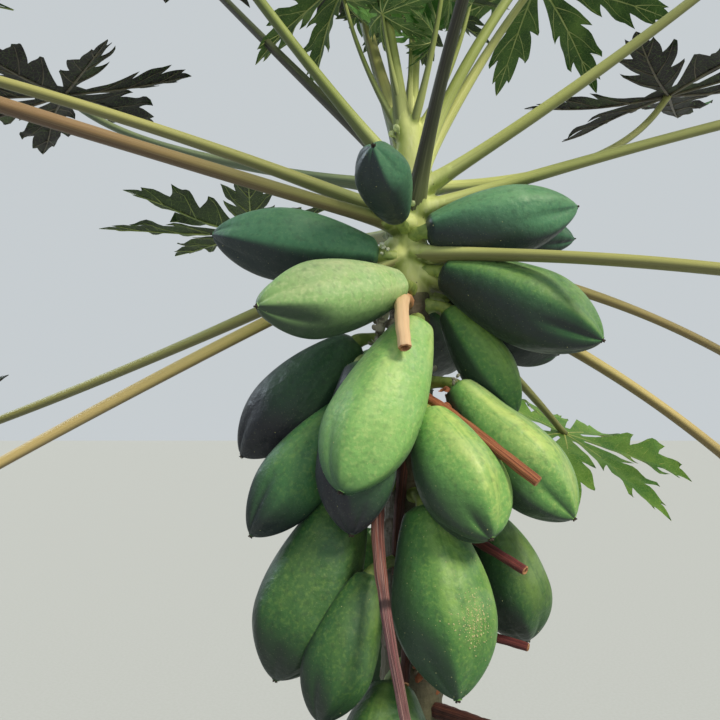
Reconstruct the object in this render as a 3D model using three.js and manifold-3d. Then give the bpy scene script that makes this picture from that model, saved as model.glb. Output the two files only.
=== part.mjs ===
// A papaya tree in fruit: one unbranched trunk, long-stalked palmate leaves round its tip, a column of
// green fruit under them, and the cut stubs of older leaf stalks among the fruit.
// Millimetres and degrees, +Z up. The origin is the centre of the flat cut at ground level.
// A bearing is measured round the trunk from +X towards +Y, and a slope up from the horizontal.
import * as THREE from "three";
import { mergeVertices } from "three/addons/utils/BufferGeometryUtils.js";
import Module from "manifold-3d";

const wasm = await Module();
wasm.setup();

// Sizes that the whole tree is worked out from. A root is the share of the trunk's radius at which a
// stalk starts, and a swell is how much thicker a limb is at its foot than at its end.
const GAP = 0.32;
const TRUNK = { top: 1895, tip: 13, foot: 47, taper: 0.62, flare: 26, flareHeight: 75 };
const BUTTRESS = { count: 4, depth: 0.1, height: 130 };
const STALK = { root: 0.3, end: 6, swell: 3.2, flare: 11.5, flareLength: 45 };
const STUB = { swell: 0.35 };
const BLADE = { thick: 6, sag: 0.16, notch: 0.1, spread: 23.5 };
const LOBES = [
  { turn: -139, reach: 0.76 },
  { turn: -94, reach: 0.93 },
  { turn: -47, reach: 0.98 },
  { turn: 0, reach: 1 },
  { turn: 47, reach: 0.98 },
  { turn: 94, reach: 0.93 },
  { turn: 139, reach: 0.76 },
];
const LOBE_EDGE = [
  { turn: 1, reach: 0.3 },
  { turn: 0.64, reach: 0.68 },
  { turn: 0.38, reach: 0.56 },
];
const FRUIT = { stem: 7, shoulder: 14, neck: 0.36, belly: 0.58, tip: 0.08, ridges: 5, ridge: 0.035 };
const FRUIT_CURVE = { rise: 0.9, fall: 0.62 };

// How finely each piece is made, and where the bands of vertices lie as shares of a limb's length
const SIDES = { trunk: 12, stalk: 6, fruit: 10 };
const TRUNK_RINGS = { count: 16, bunch: 0.1 };
const STALK_BANDS = [0, 0.05, 0.12, 0.35, 0.65, 1];
const STUB_BANDS = [0, 0.35, 0.65, 1];
const STEM_BANDS = [0, 0.55, 0.98];
const FRUIT_BANDS = [0, 0.1, 0.3, 0.52, 0.73, 0.9, 1];
const FRAME_STEPS = 100;
const WELD = 1e-3;
const SOFTEN = 0.003;

// Each leaf: height and bearing of its foot, slope of the stalk at its foot and at its end, length of the
// stalk, turn of the stalk to the side, reach of the blade, and how far the blade dips. A few blades are
// also turned to a heading of their own, rolled to one side, or sag less than the others.
const LEAVES = [
  { height: 1672, bearing: 53, rise: -16, end: -34, length: 500, turn: -8, reach: 250, dip: 16, heading: 0, roll: 20 },
  { height: 1685, bearing: -5, rise: -22, end: -52, length: 740, turn: 0, reach: 280, dip: 55 },
  { height: 1711, bearing: 200, rise: -27, end: -32, length: 740, turn: 0, reach: 280, dip: 45 },
  { height: 1710, bearing: -38, rise: -6, end: -16, length: 700, turn: 20, reach: 280, dip: 40 },
  { height: 1713, bearing: 20, rise: -3, end: -30, length: 760, turn: -2, reach: 280, dip: 55, heading: -16 },
  { height: 1726, bearing: 170, rise: -24, end: -18, length: 780, turn: -2, reach: 280, dip: 55, heading: 206 },
  { height: 1726, bearing: 96, rise: -10, end: -38, length: 680, turn: 0, reach: 270, dip: 45 },
  { height: 1740, bearing: 118, rise: 8, end: 16, length: 600, turn: 2, reach: 306, dip: 2, heading: 183, sag: -0.03 },
  { height: 1748, bearing: -130, rise: -1, end: 0, length: 760, turn: 1, reach: 280, dip: 20 },
  { height: 1758, bearing: 196, rise: 18, end: 8, length: 790, turn: -2, reach: 280, dip: 25 },
  { height: 1748, bearing: -70, rise: 65, end: 35, length: 600, turn: 2, reach: 260, dip: 15 },
  { height: 1768, bearing: 0, rise: 18, end: 12, length: 760, turn: 0, reach: 280, dip: 25 },
  { height: 1803, bearing: 150, rise: 14, end: 44, length: 710, turn: 24, reach: 320, dip: 11, heading: 166, roll: -13, sag: -0.03, knee: 0.76 },
  { height: 1793, bearing: -10, rise: 30, end: 40, length: 650, turn: 2, reach: 270, dip: 10 },
  { height: 1805, bearing: 45, rise: 57, end: 48, length: 540, turn: 0, reach: 240, dip: 20 },
  { height: 1802, bearing: 40, rise: 13, end: 59, length: 700, turn: -57, reach: 350, dip: -8, heading: 16, roll: 4, sag: -0.1, knee: 0.76 },
  { height: 1815, bearing: 20, rise: 68, end: 44, length: 620, turn: 0, reach: 240, dip: 10 },
  { height: 1813, bearing: 185, rise: 49, end: 57, length: 640, turn: 0, reach: 250, dip: 10 },
  { height: 1818, bearing: 150, rise: 46, end: 48, length: 660, turn: 0, reach: 250, dip: -20, sag: 0.08 },
  { height: 1822, bearing: 105, rise: 55, end: 57, length: 660, turn: 0, reach: 230, dip: 10 },
  { height: 1850, bearing: -150, rise: 84, end: 65, length: 480, turn: 0, reach: 190, dip: 5 },
  { height: 1862, bearing: 120, rise: 59, end: 75, length: 360, turn: 0, reach: 220, dip: 40, heading: 180 },
  { height: 1866, bearing: 80, rise: 65, end: 51, length: 360, turn: 0, reach: 160, dip: 5 },
];

// Each fruit that is placed by itself: height and bearing of its foot on the trunk, length of its stem,
// bearing and slope of its own axis, and its length and width. Its belly is the share of its length at
// which it is widest.
const FRUITS = [
  { height: 1745, bearing: 253, stem: 35, heading: 252, slope: 28, length: 124, width: 68, belly: 0.62 },
  { height: 1705, bearing: 218, stem: 28, heading: 184, slope: 6, length: 215, width: 94, belly: 0.55 },
  { height: 1660, bearing: 259, stem: 38, heading: 213, slope: -12, length: 205, width: 92, belly: 0.63 },
  { height: 1735, bearing: 300, stem: 14, heading: 1, slope: 9.5, length: 202, width: 94, belly: 0.55 },
  { height: 1760, bearing: 44, stem: 50, heading: 11, slope: -2, length: 198, width: 68 },
  { height: 1684, bearing: 328, stem: 22, heading: 338, slope: -26, length: 222, width: 104 },
  { height: 1658, bearing: 32, stem: 40, heading: 12, slope: -25, length: 178, width: 88 },
  { height: 1593, bearing: 200, stem: 46, heading: 179, slope: -45, length: 210, width: 98 },
  { height: 1614, bearing: 275, stem: 41, heading: 222, slope: -58, length: 238, width: 110, belly: 0.64 },
  { height: 1563, bearing: 225, stem: 62, heading: 260, slope: -72, length: 212, width: 96, belly: 0.64 },
  { height: 1510, bearing: 209, stem: 60, heading: 196, slope: -52, length: 200, width: 88 },
  { height: 1636, bearing: 338, stem: 24, heading: 350, slope: -57, length: 162, width: 72 },
  { height: 1535, bearing: 318, stem: 42, heading: 331, slope: -47, length: 214, width: 97, belly: 0.62 },
  { height: 1502, bearing: 278, stem: 62, heading: 311, slope: -55, length: 170, width: 103, belly: 0.6 },
  { height: 1405, bearing: 216, stem: 60, heading: 202, slope: -66, length: 238, width: 119, belly: 0.66 },
  { height: 1313, bearing: 243, stem: 80, heading: 208, slope: -67, length: 170, width: 82, belly: 0.62 },
  { height: 1392, bearing: 276, stem: 62, heading: 302, slope: -74, length: 216, width: 119, belly: 0.57 },
  { height: 1372, bearing: 345, stem: 60, heading: 0, slope: -71, length: 168, width: 98, belly: 0.6 },
  { height: 1182, bearing: 250, stem: 44, heading: 262, slope: -60, length: 220, width: 124, belly: 0.5 },
];

// The fruit behind the trunk climb it by even steps, and the last ones hang in a ring below the others
const BACK_FRUIT = { count: 6, top: 1660, step: -82, bearing: 75, turn: 47, from: 62, span: 70 };
const LOW_FRUIT = { count: 3, height: 1100, step: -14, bearing: 350, turn: 96 };
const PLAIN_FRUIT = { stem: 45, length: 212, width: 104, topSlope: -25, lowSlope: -76, lowHeight: 1150 };

// Each stub: as a leaf's stalk, with its radius at the cut end. The first one was cut lately.
const STUBS = [
  { height: 1640, bearing: 258, rise: 12, end: -62, length: 197, turn: 20, radius: 7.5, fresh: true },
  { height: 1530, bearing: 285, rise: -12, end: -38, length: 256, turn: 53, radius: 6 },
  { height: 1383, bearing: 317, rise: -22, end: -22, length: 172, turn: 0, radius: 5.5 },
  { height: 1239, bearing: 335, rise: -8, end: -10, length: 142, turn: 0, radius: 5 },
  { height: 1128, bearing: 318, rise: 2, end: -1, length: 122, turn: 0, radius: 7.5 },
  { height: 1442, bearing: 225, rise: 1, end: -55, length: 413, turn: 64, radius: 6, knee: 0.24 },
  { height: 1262, bearing: 262, rise: -30, end: -50, length: 120, turn: 0, radius: 5.5 },
  { height: 1470, bearing: 248, rise: -60, end: -88, length: 180, turn: 0, radius: 5.5 },
];

const LOOKS = {
  trunk: { color: 0x8d8a6a, roughness: 0.8, metalness: 0 },
  leaf: { color: 0x3f6b35, roughness: 0.6, metalness: 0 },
  fruit: { color: 0x3c7048, roughness: 0.45, metalness: 0 },
  stub: { color: 0x7c4634, roughness: 0.8, metalness: 0 },
  freshStub: { color: 0xc9a27a, roughness: 0.7, metalness: 0 },
};

const radians = THREE.MathUtils.degToRad;

// The unit vector at a bearing and a slope.
function toward(bearing, slope) {
  const level = Math.cos(radians(slope));
  const [x, y] = [Math.cos(radians(bearing)), Math.sin(radians(bearing))];
  return new THREE.Vector3(level * x, level * y, Math.sin(radians(slope)));
}

function trunkRadius(height) {
  const left = Math.max(0, 1 - height / TRUNK.top);
  return TRUNK.tip + TRUNK.foot * left ** TRUNK.taper + TRUNK.flare * Math.exp(-height / TRUNK.flareHeight);
}

// Level rings from the flat cut to the tip, closer together towards both ends, with low buttresses.
function trunk() {
  const { count: rings, bunch } = TRUNK_RINGS;
  const geometry = new THREE.CylinderGeometry(1, 1, rings, SIDES.trunk, rings).rotateX(Math.PI / 2);
  const position = geometry.getAttribute("position");
  for (let i = 0; i < position.count; i++) {
    const share = Math.round(position.getZ(i) + rings / 2) / rings;
    const height = TRUNK.top * (share + bunch * Math.sin(2 * Math.PI * (share - 0.5)));
    const bearing = Math.atan2(position.getY(i), position.getX(i));
    const buttress = BUTTRESS.depth * Math.cos(BUTTRESS.count * bearing) * Math.exp(-height / BUTTRESS.height);
    const radius = trunkRadius(height) * (1 + buttress);
    position.setXYZ(i, position.getX(i) * radius, position.getY(i) * radius, Math.max(0, height));
  }
  return geometry;
}

// A closed limb along a curve, through bands of vertices at the given shares of its length.
function limb(curve, bands, sides, radiusAt) {
  const last = bands.length - 1;
  const frames = curve.computeFrenetFrames(FRAME_STEPS, false);
  const geometry = new THREE.CylinderGeometry(1, 1, last, sides, last);
  const position = geometry.getAttribute("position");
  for (let i = 0; i < position.count; i++) {
    const share = bands[Math.round(last / 2 - position.getY(i))];
    const step = Math.round(share * FRAME_STEPS);
    const [across, along] = [position.getX(i), position.getZ(i)];
    const radius = radiusAt(share, Math.atan2(across, along));
    const point = curve.getPointAt(share);
    point.addScaledVector(frames.normals[step], along * radius);
    point.addScaledVector(frames.binormals[step], across * radius);
    position.setXYZ(i, point.x, point.y, point.z);
  }
  return geometry;
}

// The curve of a leaf's stalk or of its stub: it leaves the trunk at one slope and ends at another. The
// knee is the share of its length at which the two slopes would meet.
function stalkCurve({ height, bearing, rise, end, length, turn, knee = 0.5 }) {
  const start = toward(bearing, 0).multiplyScalar(STALK.root * trunkRadius(height)).setZ(height);
  const bend = start.clone().addScaledVector(toward(bearing, rise), length * knee);
  const tip = bend.clone().addScaledVector(toward(bearing + turn, end), length * (1 - knee));
  return new THREE.QuadraticBezierCurve3(start, bend, tip);
}

// The blade's outline, point by point from the notch behind the stalk and round to it again.
function bladeOutline() {
  const points = [{ turn: -180, reach: BLADE.notch }];
  for (const lobe of LOBES) {
    const edge = LOBE_EDGE.map(({ turn, reach }) => ({ turn: turn * BLADE.spread, reach: reach * lobe.reach }));
    for (const { turn, reach } of edge) points.push({ turn: lobe.turn - turn, reach });
    points.push(lobe);
    for (const { turn, reach } of edge.slice(1).reverse()) points.push({ turn: lobe.turn + turn, reach });
  }
  const last = LOBES[LOBES.length - 1];
  points.push({ turn: last.turn + BLADE.spread, reach: LOBE_EDGE[0].reach * last.reach });
  return points;
}

// A thin palmate blade, cut from a flat plate and then sagging towards its tips.
function blade(hub, heading, { reach, dip, roll = 0, sag = BLADE.sag }) {
  const outline = bladeOutline().map(({ turn, reach: share }) => {
    return new THREE.Vector2(Math.cos(radians(turn)), Math.sin(radians(turn))).multiplyScalar(share * reach);
  });
  const out = toward(heading, -dip);
  const left = toward(heading + 90, 0).applyAxisAngle(out, radians(roll));
  const up = out.clone().cross(left);
  const plate = { depth: BLADE.thick, bevelEnabled: false };
  const geometry = new THREE.ExtrudeGeometry(new THREE.Shape(outline), plate);
  const position = geometry.getAttribute("position");
  for (let i = 0; i < position.count; i++) {
    const [x, y] = [position.getX(i), position.getY(i)];
    const rise = position.getZ(i) - BLADE.thick / 2 - (sag * (x * x + y * y)) / reach;
    const point = hub.clone().addScaledVector(out, x).addScaledVector(left, y).addScaledVector(up, rise);
    position.setXYZ(i, point.x, point.y, point.z);
  }
  return geometry;
}

function leaf(row) {
  const curve = stalkCurve(row);
  const { end, swell, flare, flareLength } = STALK;
  const radius = (share) => end + swell * (1 - share) + flare * Math.exp((-share * row.length) / flareLength);
  const heading = row.heading ?? row.bearing + row.turn;
  return [limb(curve, STALK_BANDS, SIDES.stalk, radius), blade(curve.getPoint(1), heading, row)];
}

// The share of a fruit's width at a share of its length: a neck, a belly and a blunt point.
function fruitProfile(share, belly) {
  const { rise, fall } = FRUIT_CURVE;
  if (share < belly) return FRUIT.neck + (1 - FRUIT.neck) * Math.sin((Math.PI / 2) * (share / belly)) ** rise;
  const past = (share - belly) / (1 - belly);
  return Math.max(FRUIT.tip, Math.cos((Math.PI / 2) * past) ** fall);
}

// A fruit and its stem, swept in one along the stem's bend and then the fruit's straight axis.
function fruit({ height, bearing, stem, heading, slope, length, width, belly = FRUIT.belly }) {
  const foot = new THREE.Vector3(0, 0, height);
  const base = foot.clone().addScaledVector(toward(bearing, 0), trunkRadius(height) + stem);
  const axis = toward(heading, slope);
  const shoulder = base.clone().addScaledVector(axis, -FRUIT.shoulder);
  const tip = base.clone().addScaledVector(axis, length);
  const path = new THREE.CurvePath();
  path.add(new THREE.QuadraticBezierCurve3(foot, shoulder, base));
  path.add(new THREE.LineCurve3(base, tip));
  const neck = 1 - length / path.getLength();
  const stemBands = STEM_BANDS.map((share) => neck * share);
  const bands = [...stemBands, ...FRUIT_BANDS.map((share) => neck + (1 - neck) * share)];
  const radius = (share, turn) => {
    if (share < neck) return FRUIT.stem;
    const down = (share - neck) / (1 - neck);
    const ridge = 1 + FRUIT.ridge * Math.cos(FRUIT.ridges * turn) * Math.sin(Math.PI * down);
    return (width / 2) * fruitProfile(down, belly) * ridge;
  };
  return [limb(path, bands, SIDES.fruit, radius)];
}

// The fruit at the back and in the lowest ring, which follow a rule in place of a row.
function plainFruit(height, bearing) {
  const { topSlope, lowSlope, lowHeight } = PLAIN_FRUIT;
  const drop = (BACK_FRUIT.top - height) / (BACK_FRUIT.top - lowHeight);
  const slope = THREE.MathUtils.lerp(topSlope, lowSlope, Math.min(1, drop));
  return { ...PLAIN_FRUIT, height, bearing, heading: bearing, slope };
}

function backFruit(i) {
  const { top, step, bearing, turn, from, span } = BACK_FRUIT;
  return plainFruit(top + step * i, from + ((bearing - from + turn * i) % span));
}

function lowFruit(i) {
  return plainFruit(LOW_FRUIT.height + LOW_FRUIT.step * i, LOW_FRUIT.bearing + LOW_FRUIT.turn * i);
}

function stub(row) {
  const radius = (share) => row.radius * (1 + STUB.swell * (1 - share));
  return [limb(stalkCurve(row), STUB_BANDS, SIDES.stalk, radius)];
}

// A closed geometry with one vertex at each corner, its faces pointing out.
function tidy(geometry) {
  const bare = new THREE.BufferGeometry().setAttribute("position", geometry.getAttribute("position"));
  const merged = mergeVertices(bare.setIndex(geometry.index), WELD);
  const corners = merged.index.array;
  const [a, b, c] = [new THREE.Vector3(), new THREE.Vector3(), new THREE.Vector3()];
  const position = merged.getAttribute("position");
  let volume = 0;
  for (let i = 0; i < corners.length; i += 3) {
    a.fromBufferAttribute(position, corners[i]);
    b.fromBufferAttribute(position, corners[i + 1]);
    c.fromBufferAttribute(position, corners[i + 2]);
    volume += a.dot(b.cross(c));
  }
  if (volume < 0) corners.reverse();
  return merged;
}

// The same geometry with its faces moved out by the gap, so that what is cut by it keeps clear. Each
// corner goes to where the faces round it meet again: the least-squares answer of normal . move = gap,
// softened a little so that a corner of nearly parallel faces doesn't slide away along them.
function grown(geometry) {
  const position = geometry.getAttribute("position");
  const corners = geometry.index.array;
  const normals = Array.from({ length: position.count }, () => []);
  for (let i = 0; i < corners.length; i += 3) {
    const [a, b, c] = [0, 1, 2].map((k) => new THREE.Vector3().fromBufferAttribute(position, corners[i + k]));
    const normal = b.sub(a).cross(c.sub(a)).normalize();
    for (let k = 0; k < 3; k++) normals[corners[i + k]].push(normal);
  }
  const moved = position.clone();
  normals.forEach((round, i) => {
    const sum = new THREE.Vector3();
    const square = [SOFTEN, 0, 0, 0, SOFTEN, 0, 0, 0, SOFTEN];
    for (const n of round) {
      sum.addScaledVector(n, GAP);
      [n.x, n.y, n.z].forEach((u, r) => [n.x, n.y, n.z].forEach((v, s) => (square[3 * r + s] += u * v)));
    }
    sum.applyMatrix3(new THREE.Matrix3(...square).invert());
    moved.setXYZ(i, position.getX(i) + sum.x, position.getY(i) + sum.y, position.getZ(i) + sum.z);
  });
  return new THREE.BufferGeometry().setAttribute("position", moved).setIndex(geometry.index);
}

function solid(geometry) {
  const vertProperties = new Float32Array(geometry.getAttribute("position").array);
  const triVerts = new Uint32Array(geometry.index.array);
  return new wasm.Manifold(new wasm.Mesh({ numProp: 3, vertProperties, triVerts }));
}

function joined(geometries) {
  return geometries.map(solid).reduce((whole, next) => whole.add(next));
}

function geometryOf(body) {
  const { numVert, numProp, vertProperties, triVerts } = body.getMesh();
  const points = new Float32Array(numVert * 3);
  for (let i = 0; i < numVert; i++) points.set(vertProperties.subarray(i * numProp, i * numProp + 3), i * 3);
  const geometry = new THREE.BufferGeometry().setAttribute("position", new THREE.BufferAttribute(points, 3));
  return geometry.setIndex(new THREE.BufferAttribute(triVerts, 1));
}

const tree = new THREE.Group();
const placed = [];

// Adds a piece that gives way to all the pieces placed before it, without the scraps a cut leaves. The
// mesh's own origin is on the trunk's axis, at the height of the piece's foot.
function place(name, height, geometries, look) {
  const tidied = geometries.map(tidy);
  const wide = joined(tidied.map(grown));
  const reach = geometryOf(wide);
  reach.computeBoundingBox();
  const near = placed.filter((other) => other.box.intersectsBox(reach.boundingBox));
  const whole = near.reduce((rest, other) => rest.subtract(other.wide), joined(tidied));
  const largest = whole.decompose().reduce((best, next) => (next.volume() > best.volume() ? next : best));
  placed.push({ wide, box: reach.boundingBox });
  const geometry = geometryOf(largest).translate(0, 0, -height);
  const mesh = new THREE.Mesh(geometry, new THREE.MeshStandardMaterial(look));
  mesh.name = name;
  mesh.position.z = height;
  tree.add(mesh);
}

const numbered = (kind, i) => `${kind}_${String(i + 1).padStart(2, "0")}`;

place("trunk", 0, [trunk()], LOOKS.trunk);
STUBS.forEach((row, i) => {
  place(numbered("stub", i), row.height, stub(row), row.fresh ? LOOKS.freshStub : LOOKS.stub);
});
LEAVES.forEach((row, i) => place(numbered("leaf", i), row.height, leaf(row), LOOKS.leaf));
const fruits = [...FRUITS];
for (let i = 0; i < BACK_FRUIT.count; i++) fruits.push(backFruit(i));
for (let i = 0; i < LOW_FRUIT.count; i++) fruits.push(lowFruit(i));
fruits.forEach((row, i) => place(numbered("fruit", i), row.height, fruit(row), LOOKS.fruit));

export default tree;
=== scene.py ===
# A papaya tree in fruit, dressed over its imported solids: ridged fruit on their stems, lobed blades with
# raised veins, ribbed leaf stalks, a scarred trunk, hollow cut stubs and the dry bits round the stems.
# Metres and degrees, +Z up. The origin is the centre of the flat cut at ground level. A bearing is
# measured round the trunk from +X towards +Y, and a slope up from the horizontal.
from collections import namedtuple
from math import cos, hypot, pi, radians, sin
from types import SimpleNamespace as Values

import bpy
import numpy as np
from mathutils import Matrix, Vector
from mathutils.geometry import delaunay_2d_cdt
from numpy.linalg import norm


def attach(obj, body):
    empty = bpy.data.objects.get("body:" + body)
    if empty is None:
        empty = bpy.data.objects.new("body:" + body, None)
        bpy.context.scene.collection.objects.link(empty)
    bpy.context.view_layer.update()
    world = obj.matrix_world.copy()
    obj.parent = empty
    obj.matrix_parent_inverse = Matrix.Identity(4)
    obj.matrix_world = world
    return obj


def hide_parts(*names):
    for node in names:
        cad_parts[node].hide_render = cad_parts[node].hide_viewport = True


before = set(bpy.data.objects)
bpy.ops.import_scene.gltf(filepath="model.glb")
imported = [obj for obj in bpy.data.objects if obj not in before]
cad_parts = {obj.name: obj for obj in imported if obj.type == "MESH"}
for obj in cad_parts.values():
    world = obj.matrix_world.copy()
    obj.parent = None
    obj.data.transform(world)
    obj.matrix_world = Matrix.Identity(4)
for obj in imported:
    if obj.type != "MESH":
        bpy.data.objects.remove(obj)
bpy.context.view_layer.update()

# Sizes and places of the limbs, the same as the solids have
TRUNK_TOP, TRUNK_TIP, TRUNK_FOOT, TRUNK_TAPER = 1.895, 0.013, 0.047, 0.62
FLARE, FLARE_HEIGHT = 0.026, 0.075
BUTTRESSES, BUTTRESS_DEPTH, BUTTRESS_HEIGHT = 4, 0.1, 0.13
STALK_ROOT, STALK_END, STALK_SWELL, STUB_SWELL = 0.3, 0.006, 0.0032, 0.35
STALK_FLARE, STALK_FLARE_LENGTH = 0.0115, 0.045
BLADE_SAG, BLADE_NOTCH = 0.16, 0.1
FRUIT_STEM, FRUIT_SHOULDER, FRUIT_NECK, FRUIT_TIP = 0.007, 0.014, 0.36, 0.08
FRUIT_RISE, FRUIT_FALL, FRUIT_RIDGES = 0.9, 0.62, 5
# The lobes of a blade: the turn and the reach of each
LOBES = [(-139, 0.76), (-94, 0.93), (-47, 0.98), (0, 1), (47, 0.98), (94, 0.93), (139, 0.76)]

# Each leaf: height and bearing of its foot, the stalk's slope at its foot and its end, its length and its
# turn to the side, the blade's reach and dip, the tones of stalk and blade, and for a few a heading and a
# roll of the blade's own, its sag, where the stalk bends, and how full the lobes are
Leaf = namedtuple("Leaf", "height bearing rise end length turn reach dip stalk blade"
                          " heading roll sag knee full", defaults=(None, 0, BLADE_SAG, 0.5, 1))
LEAVES = [Leaf(*row) for row in (
    (1.672, 53, -16, -34, 0.50, -8, 0.25, 16, "olive", "bright", 0, 20, BLADE_SAG, 0.5, 1.35),
    (1.685, -5, -22, -52, 0.74, 0, 0.28, 55, "ochre", "mid"),
    (1.711, 200, -27, -32, 0.74, 0, 0.28, 45, "ochre", "mid"),
    (1.710, -38, -6, -16, 0.70, 20, 0.28, 40, "olive", "mid"),
    (1.713, 20, -3, -30, 0.76, -2, 0.28, 55, "ochre", "mid", -16),
    (1.726, 170, -24, -18, 0.78, -2, 0.28, 55, "olive", "deep", 206),
    (1.726, 96, -10, -38, 0.68, 0, 0.27, 45, "olive", "deep"),
    (1.740, 118, 8, 16, 0.60, 2, 0.306, 2, "lime", "mid", 183, 0, -0.03, 0.5, 1.4),
    (1.748, -130, -1, 0, 0.76, 1, 0.28, 20, "rust", "mid"),
    (1.758, 196, 18, 8, 0.79, -2, 0.28, 25, "olive", "deep"),
    (1.748, -70, 65, 35, 0.60, 2, 0.26, 15, "dusky", "deep"),
    (1.768, 0, 18, 12, 0.76, 0, 0.28, 25, "lime", "mid"),
    (1.803, 150, 14, 44, 0.71, 24, 0.32, 11, "grey", "deep", 166, -13, -0.03, 0.76),
    (1.793, -10, 30, 40, 0.65, 2, 0.27, 10, "lime", "deep"),
    (1.805, 45, 57, 48, 0.54, 0, 0.24, 20, "lime", "lit"),
    (1.802, 40, 13, 59, 0.70, -57, 0.35, -8, "lime", "deep", 16, 4, -0.1, 0.76, 1.25),
    (1.815, 20, 68, 44, 0.62, 0, 0.24, 10, "green", "deep"),
    (1.813, 185, 49, 57, 0.64, 0, 0.25, 10, "green", "mid"),
    (1.818, 150, 46, 48, 0.66, 0, 0.25, -20, "dusky", "deep", None, 0, 0.08),
    (1.822, 105, 55, 57, 0.66, 0, 0.23, 10, "green", "deep"),
    (1.850, -150, 84, 65, 0.48, 0, 0.19, 5, "green", "deep"),
    (1.862, 120, 59, 75, 0.36, 0, 0.22, 40, "olive", "lit", 180),
    (1.866, 80, 65, 51, 0.36, 0, 0.16, 5, "green", "mid"),
)]
# The turn from one young leaf or leaf scar to the next
GOLDEN_TURN = 137.5
# The young leaves at the tip: each stands a step above the last and is steeper, smaller and thinner
YOUNG = Values(count=6, height=1.868, step=0.004, bearing=30, rise=55, end=76, dip=-68, sag=-0.75,
               length=0.10, grow=0.026, reach=0.06, widen=0.010, thick=0.32, thicken=0.03, rib=0.35)

# Each fruit: height and bearing of its foot, length of its stem, bearing and slope of its axis, its length,
# width and tone, the share of its length at which it is widest, how far its neck is drawn in, how many pale
# specks it has, and its tip, which is blunter the less this is
Fruit = namedtuple("Fruit", "height bearing stem heading slope length width tone belly pear specks fall",
                   defaults=(0.58, 0.0, 14, FRUIT_FALL))
FRUITS = [Fruit(*row) for row in (
    (1.745, 253, 0.035, 252, 28, 0.124, 0.068, "young", 0.62),
    (1.705, 218, 0.028, 184, 6, 0.215, 0.094, "young", 0.55),
    (1.660, 259, 0.038, 213, -12, 0.205, 0.092, "pale", 0.63),
    (1.735, 300, 0.014, 1, 9.5, 0.202, 0.094, "young", 0.55),
    (1.760, 44, 0.050, 11, -2, 0.198, 0.068, "young"),
    (1.684, 328, 0.022, 338, -26, 0.222, 0.104, "deep"),
    (1.658, 32, 0.040, 12, -25, 0.178, 0.088, "deep"),
    (1.593, 200, 0.046, 179, -45, 0.210, 0.098, "shade"),
    (1.614, 275, 0.041, 222, -58, 0.238, 0.110, "light", 0.64, 0.0, 30, 0.5),
    (1.563, 225, 0.062, 260, -72, 0.212, 0.096, "shade", 0.64),
    (1.510, 209, 0.060, 196, -52, 0.200, 0.088, "deep"),
    (1.636, 338, 0.024, 350, -57, 0.162, 0.072, "mid"),
    (1.535, 318, 0.042, 331, -47, 0.214, 0.097, "fresh", 0.62, 0.12, 30),
    (1.502, 278, 0.062, 311, -55, 0.170, 0.103, "fresh", 0.6, 0.0, 50, 0.5),
    (1.405, 216, 0.060, 202, -66, 0.238, 0.119, "dull_shaded", 0.66),
    (1.313, 243, 0.080, 208, -67, 0.170, 0.082, "dull_shaded", 0.62),
    (1.392, 276, 0.062, 302, -74, 0.216, 0.119, "mid", 0.57, 0.04, 130, 0.70),
    (1.372, 345, 0.060, 0, -71, 0.168, 0.098, "dull_shaded", 0.6),
    (1.182, 250, 0.044, 262, -60, 0.220, 0.124, "dull_shaded", 0.5),
)]
# The fruit behind the trunk climb it by even steps, and the last ones hang in a ring below the others
BACK_FRUIT = Values(count=6, top=1.660, step=-0.082, bearing=75, turn=47, start=62, span=70)
LOW_FRUIT = Values(count=3, height=1.100, step=-0.014, bearing=350, turn=96)
PLAIN_FRUIT = Values(stem=0.045, length=0.212, width=0.104, top_slope=-25, low_slope=-76, low_height=1.150)
# The scurfy patch on one fruit: its number, how many specks there are, where along it and which way out of
# it they are thickest, and how widely they spread along it and, in degrees, round it
SCURF = Values(fruit=17, count=460, along=0.63, bearing=-62, slope=5, spread=0.062, fan=13)

# Each stub of a leaf stalk, with its radius at the cut, where it bends, and for one where its joint is
Stub = namedtuple("Stub", "height bearing rise end length turn radius tone knee joint", defaults=(0.5, 1))
STUBS = [Stub(*row) for row in (
    (1.640, 258, 12, -62, 0.197, 20, 0.0075, "peach"),
    (1.530, 285, -12, -38, 0.256, 53, 0.0060, "russet"),
    (1.383, 317, -22, -22, 0.172, 0, 0.0055, "maroon"),
    (1.239, 335, -8, -10, 0.142, 0, 0.0050, "maroon"),
    (1.128, 318, 2, -1, 0.122, 0, 0.0075, "umber"),
    (1.442, 225, 1, -55, 0.413, 64, 0.0060, "rose", 0.24, 0.235),
    (1.262, 262, -30, -50, 0.120, 0, 0.0055, "umber"),
    (1.470, 248, -60, -88, 0.180, 0, 0.0055, "umber"),
)]
# Dry flowers, bracts and drops of latex among the stems: place, size, how many, tone
Scraps = namedtuple("Scraps", "place size count tone")
SCRAPS = [Scraps(*row) for row in (
    ((-0.036, -0.072, 1.606), 0.018, 14, "ash"),
    ((-0.044, -0.072, 1.588), 0.013, 8, "ash"),
    ((-0.034, -0.048, 1.708), 0.012, 6, "latex"),
    ((0.040, -0.058, 1.530), 0.020, 5, "bract"),
    ((0.052, -0.060, 1.538), 0.012, 6, "ash"),
    ((0.008, -0.085, 1.172), 0.030, 3, "bract"),
    ((0.030, 0.052, 1.560), 0.014, 6, "ash"),
)]

# The photograph's viewpoint: its place, its tilt up, and the lens with its picture's width
CAMERA_PLACE, CAMERA_TILT, CAMERA_LENS, SENSOR = (-0.066, -1.0, 1.5), 4, 37.75, 36

# The colour of the trunk's tip and of the stalks' feet
STALK_FOOT = "d3dc8e"

# The lights: where each shines from, how widely it spreads, its strength and its colour
SUNS = [("key", (4.4, -3.4, 6.0), 16, 2.9, "fff4dc"), ("rim", (-4.5, 2.6, 3.6), 20, 1.2, "e4f2ff")]
SKY_STRENGTH = 0.72

# The way from the middle of the tree to its far side, where the painted shade on the fruit is weaker
FAR_SIDE = (-0.3, 1.0, 0.1)

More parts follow.
